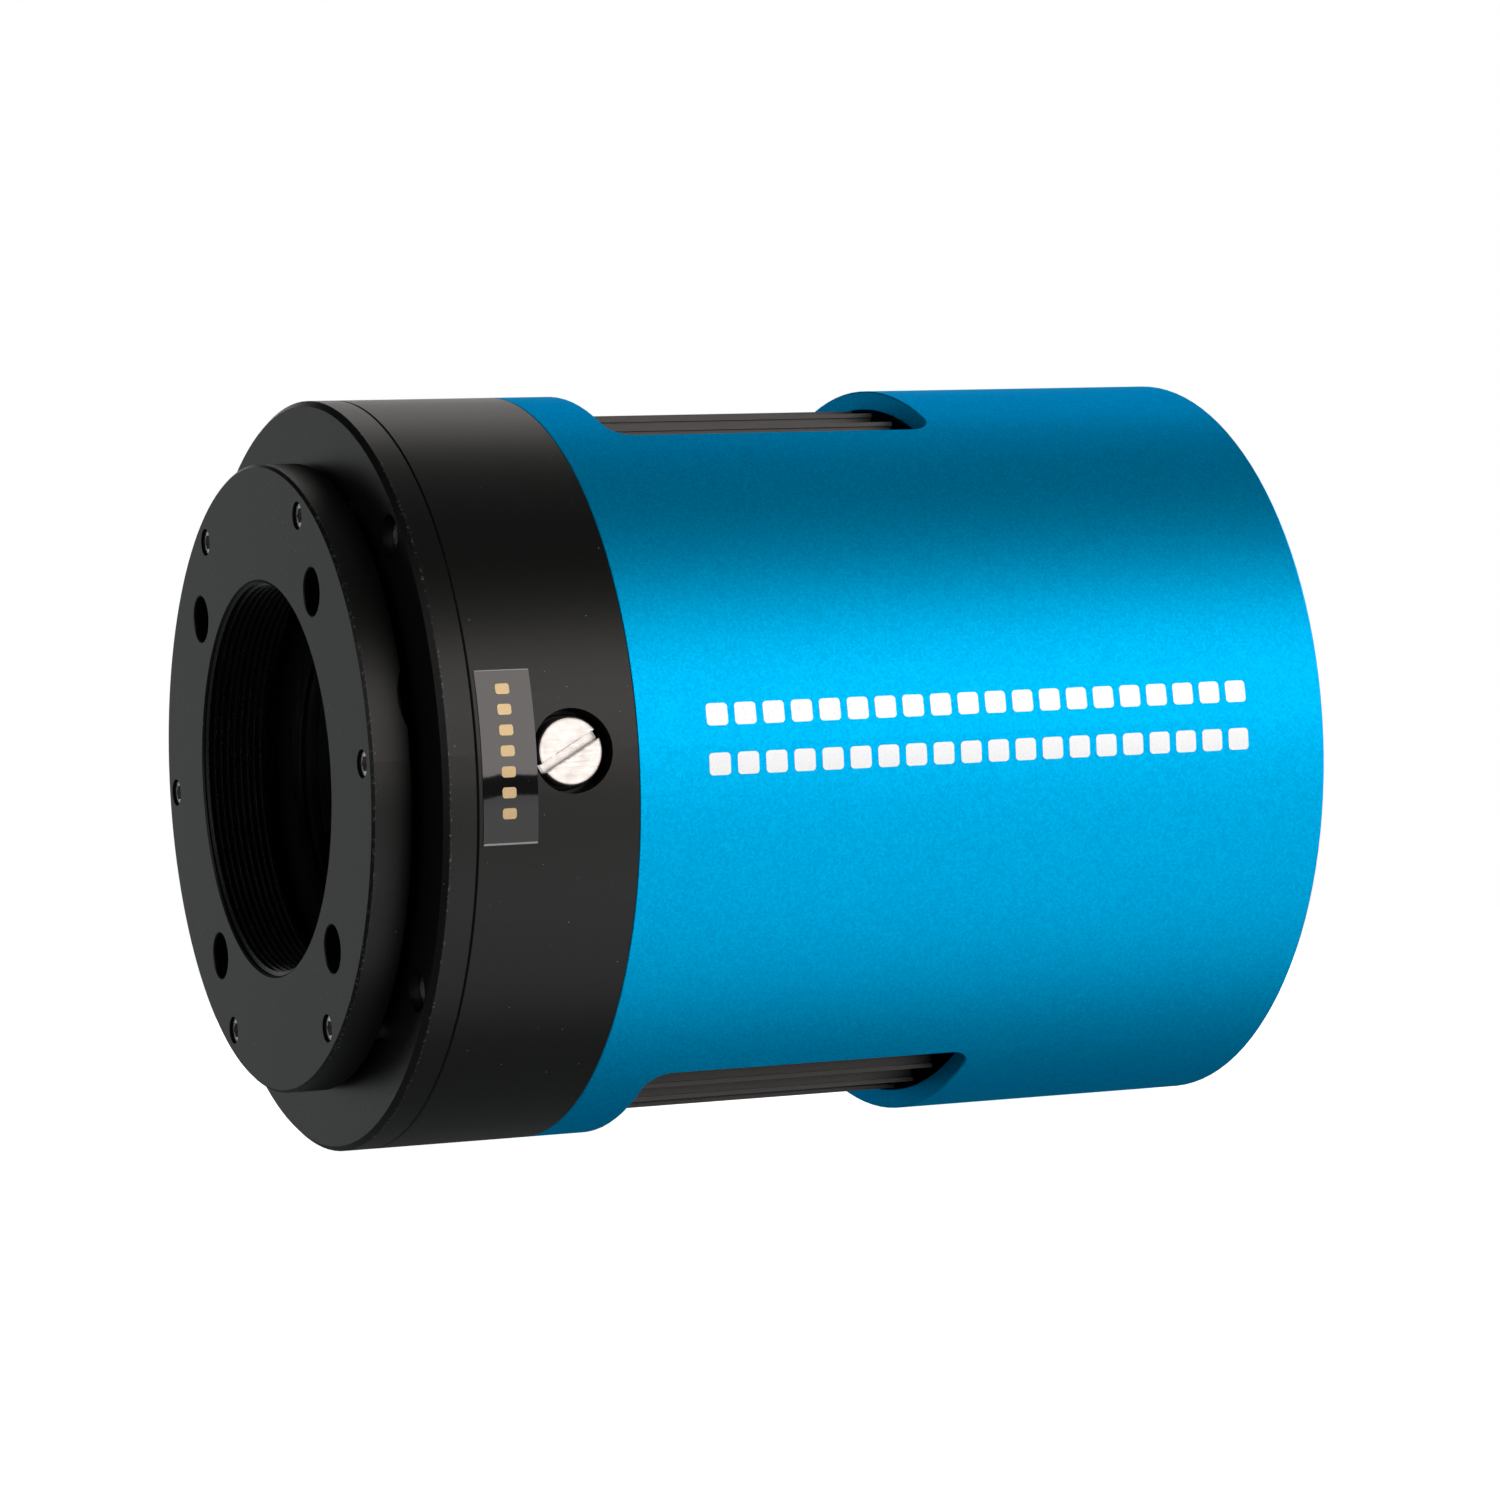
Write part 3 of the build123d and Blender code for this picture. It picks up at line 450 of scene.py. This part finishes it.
def plug_steel():
    """Turned face of the plug, darker in broken patches along its screwdriver slot, with painted
    shade round its rim.
    """
    shade = Shade("plug_steel")
    y = shade.math("SUBTRACT", shade.axis("Y"), PLUG_CENTRE.y)
    z = shade.axis("Z")
    reach = shade.math("SQRT", shade.math("ADD", shade.math("MULTIPLY", y, y),
                                          shade.math("MULTIPLY", z, z)))
    across = shade.math("ADD", shade.math("MULTIPLY", z, math.cos(PLUG_SLOT_ANGLE)),
                        shade.math("MULTIPLY", y, -math.sin(PLUG_SLOT_ANGLE)))
    rings = shade.math("SINE", shade.math("MULTIPLY", reach, 2 * math.pi / (0.16 * MM)))
    scratches = shade.noise(1.0, 3, 0.65,
                            shade.stretched((per_mm(2.0), per_mm(2.6), per_mm(0.14))))
    stains = shade.noise(per_mm(1.4), 4, 0.6)
    face = shade.ramp(stains, [(0.30, (0.50, 0.475, 0.455)), (0.62, (0.62, 0.605, 0.59))])
    edge = shade.near(shade.math("ABSOLUTE", across), PLUG_SLOT_HALF + 0.06 * MM, 0.10 * MM)
    broken_patches = shade.range(shade.noise(per_mm(0.5), 3, 0.6), 0.38, 0.55, 0.0, 1.0)
    slot_edge_dark = shade.math("MULTIPLY", edge, broken_patches)
    # Painted shade: the face darkens toward its rim, where the plug meets its hole.
    rim_shade = shade.range(reach, PLUG_RADIUS - 0.34 * MM, PLUG_RADIUS - 0.22 * MM, 0.0, 0.6)
    slot_and_rim_dark = shade.math("MAXIMUM", slot_edge_dark, rim_shade)
    shade.link(shade.mix(slot_and_rim_dark, face, (0.20, 0.175, 0.155)), "Base Color")
    shade.link(shade.range(scratches, 0.25, 0.75, 0.30, 0.46), "Roughness")
    shade.set(Metallic=0.9)
    relief = shade.math("ADD", shade.math("MULTIPLY", rings, 0.12), scratches)
    shade.link(shade.bump(relief, 0.004 * MM), "Normal")
    return shade


def moulded(name, dark, light, roughness, grain=0.4, depth=0.01 * MM, metallic=0.0):
    """Plain moulded or cast surface with a fine texture."""
    shade = Shade(name)
    noise = shade.noise(per_mm(grain), 3, 0.6)
    cloud = shade.noise(per_mm(6.0), 2)
    value = shade.math("ADD", shade.math("MULTIPLY", noise, 0.5),
                       shade.math("MULTIPLY", cloud, 0.5))
    shade.link(shade.ramp(value, [(0.35, dark), (0.65, light)]), "Base Color")
    shade.link(shade.range(noise, 0.3, 0.7, roughness - 0.05, roughness + 0.06), "Roughness")
    shade.set(Metallic=metallic)
    shade.link(shade.bump(noise, depth), "Normal")
    return shade


def circuit_board():
    """Green solder mask over traces that show as raised lines."""
    shade = Shade("circuit_board")
    traces = shade.node("ShaderNodeTexBrick")
    traces.inputs["Scale"].default_value = per_mm(8.0)
    traces.inputs["Mortar Size"].default_value = 0.03
    traces.inputs["Color1"].default_value = (0.008, 0.060, 0.030, 1.0)
    traces.inputs["Color2"].default_value = (0.010, 0.072, 0.036, 1.0)
    traces.inputs["Mortar"].default_value = (0.020, 0.120, 0.060, 1.0)
    flat = shade.node("ShaderNodeCombineXYZ")
    shade.join(shade.axis("X"), flat.inputs["X"])
    shade.join(shade.axis("Z"), flat.inputs["Y"])
    shade.join(flat.outputs["Vector"], traces.inputs["Vector"])
    shade.link(traces.outputs["Color"], "Base Color")
    shade.link(shade.range(shade.noise(per_mm(1.0)), 0.3, 0.7, 0.28, 0.40), "Roughness")
    shade.link(shade.bump(traces.outputs["Fac"], 0.02 * MM), "Normal")
    return shade


def coated_glass():
    """Window glass with a green-violet coating."""
    shade = Shade("coated_glass")
    sheen = shade.noise(per_mm(14.0), 2)
    shade.link(shade.ramp(sheen, [(0.3, (0.80, 0.90, 0.84)), (0.7, (0.86, 0.84, 0.92))]),
               "Base Color")
    shade.link(shade.range(shade.noise(per_mm(3.0)), 0.3, 0.7, 0.02, 0.05), "Roughness")
    shade.set(Transmission_Weight=1.0, IOR=1.46)
    return shade


def clear_film():
    """Glossy film stuck on black metal: it mirrors the softboxes and holds some dust."""
    shade = Shade("clear_film")
    dust = shade.range(shade.noise(per_mm(0.30), 4, 0.7), 0.66, 0.76, 0.0, 1.0)
    shade.link(shade.mix(dust, (0.009, 0.009, 0.009), (0.10, 0.098, 0.095)), "Base Color")
    shade.link(shade.range(dust, 0.0, 1.0, 0.05, 0.30), "Roughness")
    shade.set(IOR=1.54)
    ripples = shade.noise(per_mm(3.5), 3, 0.5)
    shade.link(shade.bump(ripples, 0.012 * MM), "Normal")
    return shade


def ink(name, colour, roughness, metallic=0.0):
    """Screen-printed mark with slightly uneven cover."""
    shade = Shade(name)
    cover = shade.noise(per_mm(0.25), 3, 0.6)
    dim = tuple(0.92 * c for c in colour)
    shade.link(shade.ramp(cover, [(0.35, dim), (0.6, colour)]), "Base Color")
    shade.link(shade.range(cover, 0.3, 0.7, roughness - 0.05, roughness + 0.1), "Roughness")
    shade.set(Metallic=metallic)
    shade.link(shade.bump(cover, 0.004 * MM), "Normal")
    return shade


def slot_materials():
    """A finished material for each slot of the record."""
    black = black_anodised()
    steel = turned_steel()
    made = {
        "black_anodised": black,
        "sink_anodised": sink_anodised(),
        "blue_anodised": blue_anodised(),
        "steel": steel,
        "bare_aluminium": moulded("bare_aluminium", (0.60, 0.60, 0.61), (0.74, 0.74, 0.75), 0.34,
                                  0.5, 0.006 * MM, 1.0),
        "brass": moulded("brass", (0.62, 0.43, 0.15), (0.78, 0.58, 0.26), 0.30, 0.8,
                         0.0015 * MM, 1.0),
        "rubber": moulded("rubber", (0.010, 0.010, 0.010), (0.020, 0.020, 0.021), 0.62, 0.3),
        "foam": moulded("foam", (0.030, 0.030, 0.033), (0.060, 0.060, 0.065), 0.9, 0.6,
                        0.15 * MM),
        "coated_glass": coated_glass(),
        "clear_film": clear_film(),
        "heater_film": moulded("heater_film", (0.020, 0.012, 0.008), (0.035, 0.020, 0.012), 0.35,
                               1.2),
        "ceramic": moulded("ceramic", (0.70, 0.67, 0.62), (0.80, 0.78, 0.74), 0.55, 0.3),
        "silicon": moulded("silicon", (0.035, 0.030, 0.045), (0.060, 0.055, 0.085), 0.12, 2.0,
                           0.001 * MM, 0.6),
        "board": circuit_board(),
        "black_plastic": moulded("black_plastic", (0.016, 0.016, 0.017), (0.028, 0.028, 0.030),
                                 0.48, 0.35),
        "dark_iron": moulded("dark_iron", (0.07, 0.065, 0.06), (0.13, 0.12, 0.11), 0.5, 0.3,
                             0.02 * MM, 0.8),
        "white_plastic": moulded("white_plastic", (0.72, 0.72, 0.70), (0.80, 0.80, 0.78), 0.45),
        "desiccant": moulded("desiccant", (0.62, 0.28, 0.07), (0.78, 0.42, 0.14), 0.85, 0.5,
                             0.08 * MM),
        "indicator": moulded("indicator", (0.40, 0.04, 0.02), (0.55, 0.07, 0.04), 0.15, 1.0),
    }
    return {slot: shade.material for slot, shade in made.items()}


def dress_cad(materials):
    """Gives every CAD node the material of its slot."""
    for entry in frame["record"]["subparts"]:
        node = NODES[entry["node"]]
        node.data.materials.clear()
        node.data.materials.append(materials[entry["material_slot"]])
    plug = NODES["desiccant_plug"]
    plug.data.materials.clear()
    plug.data.materials.append(plug_steel().material)


# ------------------------------------------------------------------ pieces

def add_piece(name, bm, body, material, smooth=True):
    mesh = bpy.data.meshes.new(name)
    bmesh.ops.recalc_face_normals(bm, faces=bm.faces)
    bm.to_mesh(mesh)
    bm.free()
    for face in mesh.polygons:
        face.use_smooth = smooth
    mesh.materials.append(material)
    piece = bpy.data.objects.new(name, mesh)
    bpy.context.scene.collection.objects.link(piece)
    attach(piece, body)
    return piece


def add_helix(name, body, material, centre, radius, reach, pitch, start, end):
    """One helical ridge round an axis along Y, fading at both ends.

    Its depth, reach, is negative where it points inward.
    """
    section = [(0.0, -0.36), (1.0, -0.06), (1.0, 0.06), (0.0, 0.36)]
    bm = bmesh.new()
    rows = []
    count = int((end - start) / pitch * HELIX_STEPS)
    for step in range(count + 1):
        angle = 2 * math.pi * step / HELIX_STEPS
        middle = start + pitch * step / HELIX_STEPS
        fade = min(1.0, step / HELIX_FADE, (count - step) / HELIX_FADE)
        row = []
        for rise, shift in section:
            here = radius + rise * fade * reach
            place = (centre[0] + here * math.cos(angle), middle + shift * pitch,
                     centre[1] + here * math.sin(angle))
            row.append(bm.verts.new(place))
        rows.append(row)
    for before, after in zip(rows, rows[1:]):
        for index in range(len(section) - 1):
            bm.faces.new((before[index], before[index + 1], after[index + 1], after[index]))
    return add_piece(name, bm, body, material, smooth=False)


def add_threads(plate_material, socket_material):
    """The M42 x 0.75 turns in the plate's bore and the fine turns on the antenna socket."""
    add_helix("m42_thread", "tilt_plate", plate_material, (0.0, 0.0),
              THREAD_RADIUS + THREAD_ROOT, -THREAD_DEPTH, THREAD_PITCH,
              PLATE_LOW.y + THREAD_START, PLATE_HIGH.y - THREAD_END)
    low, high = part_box("antenna_socket")
    middle = (low + high) / 2
    add_helix("antenna_thread", "housing", socket_material, (middle.x, middle.z),
              ANTENNA_RADIUS, ANTENNA_DEPTH, ANTENNA_PITCH, low.y + 3.2 * MM, high.y - 0.5 * MM)


def on_shell(y, arc, lift):
    """Point on the shell at a distance along the axis and round the side from the +X line."""
    angle = arc / BODY_RADIUS
    radius = BODY_RADIUS + lift
    return Vector((radius * math.cos(angle), y, radius * math.sin(angle)))


def rounded_bar(bm, start, end, middle, height, lift, corner=None):
    """Filled bar with rounded ends, following the shell's curve."""
    corner = min(height / 2, (end - start) / 2) if corner is None else corner
    rows = 8
    columns = []
    for side, centre in ((-1, start + corner), (1, end - corner)):
        for step in range(7):
            turn = math.pi / 2 * (step / 6 if side > 0 else 1 - step / 6)
            y = centre + side * corner * math.sin(turn)
            reach = height / 2 - corner + corner * math.cos(turn)
            columns.append((y, max(reach, 0.02 * MM)))
    grid = []
    for y, reach in columns:
        grid.append([bm.verts.new(on_shell(y, middle - reach + 2 * reach * row / rows, lift))
                     for row in range(rows + 1)])
    for left, right in zip(grid, grid[1:]):
        for row in range(rows):
            bm.faces.new((left[row], right[row], right[row + 1], left[row + 1]))


def add_blocks(bm, start, end, count, middle, height, lift):
    """Row of equal rounded blocks at even steps."""
    pitch = (end - start) / (count - 1 + MARKS_FILL)
    for step in range(count):
        left = start + pitch * step
        rounded_bar(bm, left, left + MARKS_FILL * pitch, middle, height, lift, MARKS_CORNER)


def add_shell_marks(material):
    """Two even rows of equal blocks, a plain pattern where the real shell is printed."""
    bm = bmesh.new()
    for middle in MARKS_ROWS:
        add_blocks(bm, MARKS_START, MARKS_END, MARKS_COUNT, middle, MARKS_HEIGHT, MARKS_LIFT)
    return add_piece("shell_marks", bm, "housing", material)


def add_label(material):
    """Thin film bent round the chamber, slightly wavy, in place of the CAD's plain label."""
    bm = bmesh.new()
    rows, columns = 72, 12
    sheets = []
    for depth in (0.0, FILM_THICKNESS):
        sheet = []
        for row in range(rows + 1):
            z = LABEL_LOW.z + (LABEL_HIGH.z - LABEL_LOW.z) * row / rows
            arc = BODY_RADIUS * math.asin(z / BODY_RADIUS)
            line = []
            for column in range(columns + 1):
                y = LABEL_LOW.y + (LABEL_HIGH.y - LABEL_LOW.y) * column / columns
                wave = FILM_WAVE * math.sin(arc / (1.9 * MM) + 1.3 * math.sin(y / (1.6 * MM)))
                line.append(bm.verts.new(on_shell(y, arc, FILM_LIFT + wave - depth)))
            sheet.append(line)
        sheets.append(sheet)
    for sheet in sheets:
        for row in range(rows):
            for column in range(columns):
                bm.faces.new((sheet[row][column], sheet[row][column + 1],
                              sheet[row + 1][column + 1], sheet[row + 1][column]))
    outer, inner = sheets
    border = [(0, column) for column in range(columns)]
    border += [(row, columns) for row in range(rows)]
    border += [(rows, column) for column in range(columns, 0, -1)]
    border += [(row, 0) for row in range(rows, 0, -1)]
    for (row, column), (next_row, next_column) in zip(border, border[1:] + border[:1]):
        corners = (outer[row][column], outer[next_row][next_column],
                   inner[next_row][next_column], inner[row][column])
        bm.faces.new([bm.verts.new(corner.co) for corner in corners])
    piece = add_piece("label_film", bm, "housing", material)
    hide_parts("tamper_label")
    return piece


def add_label_marks(material):
    """Even column of equal gold blocks."""
    bm = bmesh.new()
    width, height, corner = LABEL_BLOCK
    middle = (LABEL_LOW.y + LABEL_HIGH.y) / 2 - 0.15 * MM
    top = LABEL_HIGH.z - 1.3 * MM
    left = middle - width / 2
    for step in range(LABEL_BLOCKS):
        centre = top - 0.62 * MM - LABEL_STEP * step
        rounded_bar(bm, left, left + width, centre, height, LABEL_BLOCK_LIFT, corner)
    return add_piece("label_marks", bm, "housing", material)


def add_label_edge(material):
    """Pale cut edges at the top and the bottom of the film."""
    bm = bmesh.new()
    bottom, top = LABEL_LOW.z + 0.10 * MM, LABEL_HIGH.z - 0.06 * MM
    for z, width in ((bottom, 0.20 * MM), (top, 0.10 * MM)):
        arc = BODY_RADIUS * math.asin(z / BODY_RADIUS)
        rounded_bar(bm, LABEL_LOW.y + 0.03 * MM, LABEL_HIGH.y - 0.03 * MM, arc, width,
                    0.11 * MM, 0.04 * MM)
    return add_piece("label_edge", bm, "housing", material)


# ------------------------------------------------------------------ rear and sensor details

def add_box(bm, low, high, bevel=0.0):
    """Box between two corners, with small bevels."""
    middle = (Vector(low) + Vector(high)) / 2
    size = Vector(high) - Vector(low)
    made = bmesh.ops.create_cube(bm, size=1.0)
    for vertex in made["verts"]:
        corner = vertex.co
        vertex.co = middle + Vector((corner.x * size.x, corner.y * size.y, corner.z * size.z))
    if bevel:
        edges = list({edge for vertex in made["verts"] for edge in vertex.link_edges})
        bmesh.ops.bevel(bm, geom=edges, offset=bevel, segments=2, affect="EDGES", profile=0.5)


def add_frame_line(bm, low_x, high_x, low_z, high_z, y, width, lift):
    """Flat rectangular outline facing the rear."""
    rings = []
    for grow in (0.0, width):
        rings.append([bm.verts.new((x, y + lift, z)) for x, z in (
            (low_x - grow, low_z - grow), (high_x + grow, low_z - grow),
            (high_x + grow, high_z + grow), (low_x - grow, high_z + grow))])
    for index in range(4):
        after = (index + 1) % 4
        bm.faces.new((rings[0][index], rings[0][after], rings[1][after], rings[1][index]))


def add_rear_details(plastic, contact, rubber, white):
    """Tongues and gilt contacts in the sockets, dust collar, printed outlines on the cover."""
    cover_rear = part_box("rear_cover")[1].y
    tongues = bmesh.new()
    contacts = bmesh.new()
    for z in USB_A_MIDDLES:
        add_box(tongues, (9.40 * MM, TONGUE_START, (z - 0.96) * MM),
                (20.60 * MM, 102.05 * MM, (z + 0.96) * MM), 0.12 * MM)
        for x in USB_A_CONTACTS:
            add_box(contacts, ((x - 0.55) * MM, CONTACT_START, (z - 1.06) * MM),
                    ((x + 0.55) * MM, 101.8 * MM, (z - 0.93) * MM), 0.02 * MM)
    add_box(tongues, (-18.9 * MM, TONGUE_START, -13.6 * MM), (-13.1 * MM, 101.8 * MM, -10.4 * MM),
            0.15 * MM)
    for x in USB_B_CONTACTS:
        for z in (-13.72, -10.40):
            add_box(contacts, ((x - 0.45) * MM, CONTACT_START, z * MM),
                    ((x + 0.45) * MM, 101.6 * MM, (z + 0.12) * MM), 0.02 * MM)
    add_piece("socket_tongues", tongues, "housing", plastic, smooth=False)
    add_piece("socket_contacts", contacts, "housing", contact, smooth=False)
    low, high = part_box("power_socket")
    collar = bmesh.new()
    inner, outer = 0.02 * MM, 1.6 * MM
    for x in ((low.x - outer, low.x - inner), (high.x + inner, high.x + outer)):
        add_box(collar, (x[0], COLLAR_FRONT, low.z - outer), (x[1], COLLAR_REAR, high.z + outer),
                0.08 * MM)
    for z in ((low.z - outer, low.z - inner), (high.z + inner, high.z + outer)):
        add_box(collar, (low.x - inner, COLLAR_FRONT, z[0]), (high.x + inner, COLLAR_REAR, z[1]),
                0.08 * MM)
    add_piece("power_collar", collar, "housing", rubber, smooth=False)
    marks = bmesh.new()
    for node in ("usb_b_socket", "power_socket", "usb_a_sockets"):
        low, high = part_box(node)
        add_frame_line(marks, low.x - MARK_GROW, high.x + MARK_GROW, low.z - MARK_GROW,
                       high.z + MARK_GROW, cover_rear, MARK_WIDTH, MARK_LIFT)
    add_piece("rear_marks", marks, "housing", white, smooth=False)


def add_sensor_details(gilt, active):
    """Gilt pads and bond wires round the die, and its active area."""
    low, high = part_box("sensor_die")
    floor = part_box("sensor_package")[0].y + PACKAGE_DEPTH
    wires = bmesh.new()
    for side in (-1, 1):
        for step in range(WIRE_COUNT):
            x = (-WIRE_REACH + 2 * WIRE_REACH * step / (WIRE_COUNT - 1)) * MM
            z_die, z_pad = side * (high.z - 0.35 * MM), side * (high.z + 1.6 * MM)
            add_box(wires, (x - 0.16 * MM, floor - 0.04 * MM, min(z_pad, z_pad + side * 0.7 * MM)),
                    (x + 0.16 * MM, floor + 0.01 * MM, max(z_pad, z_pad + side * 0.7 * MM)))
            points = []
            for part in range(WIRE_PARTS + 1):
                t = part / WIRE_PARTS
                rise = WIRE_ARCH * math.sin(math.pi * t) * (1 - 0.3 * t)
                y = (low.y - 0.01 * MM) * (1 - t) + (floor - 0.04 * MM) * t - rise
                points.append(Vector((x, y, z_die + (z_pad + side * 0.3 * MM - z_die) * t)))
            for before, after in zip(points, points[1:]):
                half = Vector((0.035 * MM, 0.0, 0.0))
                thick = Vector((0.0, 0.05 * MM, 0.0))
                corners = (before - half, before + half, after + half, after - half)
                top = [wires.verts.new(corner) for corner in corners]
                base = [wires.verts.new(corner + thick) for corner in corners]
                wires.faces.new(top)
                wires.faces.new(base)
                for index in range(4):
                    follow = (index + 1) % 4
                    wires.faces.new((top[index], top[follow], base[follow], base[index]))
    add_piece("bond_wires", wires, "housing", gilt, smooth=False)
    area = bmesh.new()
    add_box(area, (low.x + 0.75 * MM, low.y - 0.02 * MM, low.z + 0.75 * MM),
            (high.x - 0.75 * MM, low.y + 0.05 * MM, high.z - 0.75 * MM), 0.01 * MM)
    add_piece("active_area", area, "housing", active, smooth=False)


add_camera()
add_lights()
add_world()
add_floor()
slots = slot_materials()
dress_cad(slots)
white_ink = ink("white_ink", (0.93, 0.97, 1.0), 0.52, 0.8).material
# Painted light: this black is lighter than the plate's anodising so that the thread's turns look
# lit.
lit_thread_black = moulded("lit_thread_black", (0.014, 0.015, 0.014), (0.026, 0.027, 0.026), 0.30, 0.3,
                       0.004 * MM).material
gold_ink = ink("gold_ink", (0.80, 0.58, 0.30), 0.4, 0.3).material
cut_edge = ink("cut_edge", (0.42, 0.41, 0.40), 0.3).material
gilt = moulded("gilt", (0.72, 0.50, 0.18), (0.86, 0.64, 0.28), 0.25, 0.6, 0.002 * MM, 1.0).material
tongue_plastic = moulded("tongue_plastic", (0.020, 0.020, 0.022), (0.032, 0.032, 0.035),
                         0.42).material
active = moulded("active_area", (0.030, 0.040, 0.060), (0.045, 0.055, 0.085), 0.10, 1.5,
                 0.0005 * MM, 0.5).material
add_threads(lit_thread_black, slots["brass"])
add_shell_marks(white_ink)
add_label(slots["clear_film"])
add_label_marks(gold_ink)
add_label_edge(cut_edge)
add_rear_details(tongue_plastic, gilt, slots["rubber"], white_ink)
add_sensor_details(gilt, active)
bpy.context.scene.view_settings.view_transform = "Standard"
